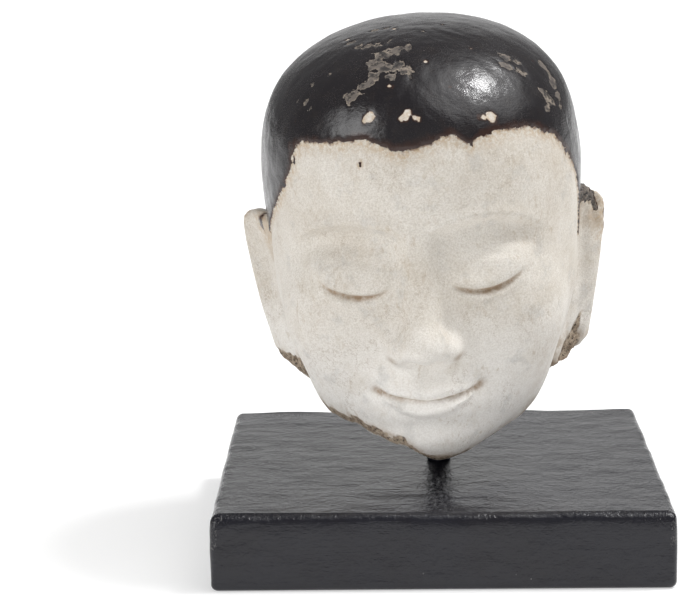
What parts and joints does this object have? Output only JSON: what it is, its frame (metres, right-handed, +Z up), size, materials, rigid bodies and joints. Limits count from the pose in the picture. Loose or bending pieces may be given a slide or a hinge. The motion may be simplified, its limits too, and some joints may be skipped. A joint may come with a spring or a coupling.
{
  "type": "mounted stone head",
  "caption": "Carved stone head of a shaven Buddhist figure, broken at the neck and held on a rod above a square black plinth.",
  "frame": {"origin": "centre of the plinth's underside", "axes": "+Z up; the face looks along -Y; +X is to the right of a person who looks at the face"},
  "size_m": [0.182, 0.182, 0.2167],
  "materials": {
    "stone": "matt, worn white marble; the cap of hair is covered with glossy black lacquer",
    "rod_metal": "satin black paint",
    "plinth_wood": "satin black paint, brushed on by hand"
  },
  "bodies": {
    "root": {"head": "stone", "rod": "rod_metal", "plinth": "plinth_wood"}
  },
  "joints": []
}
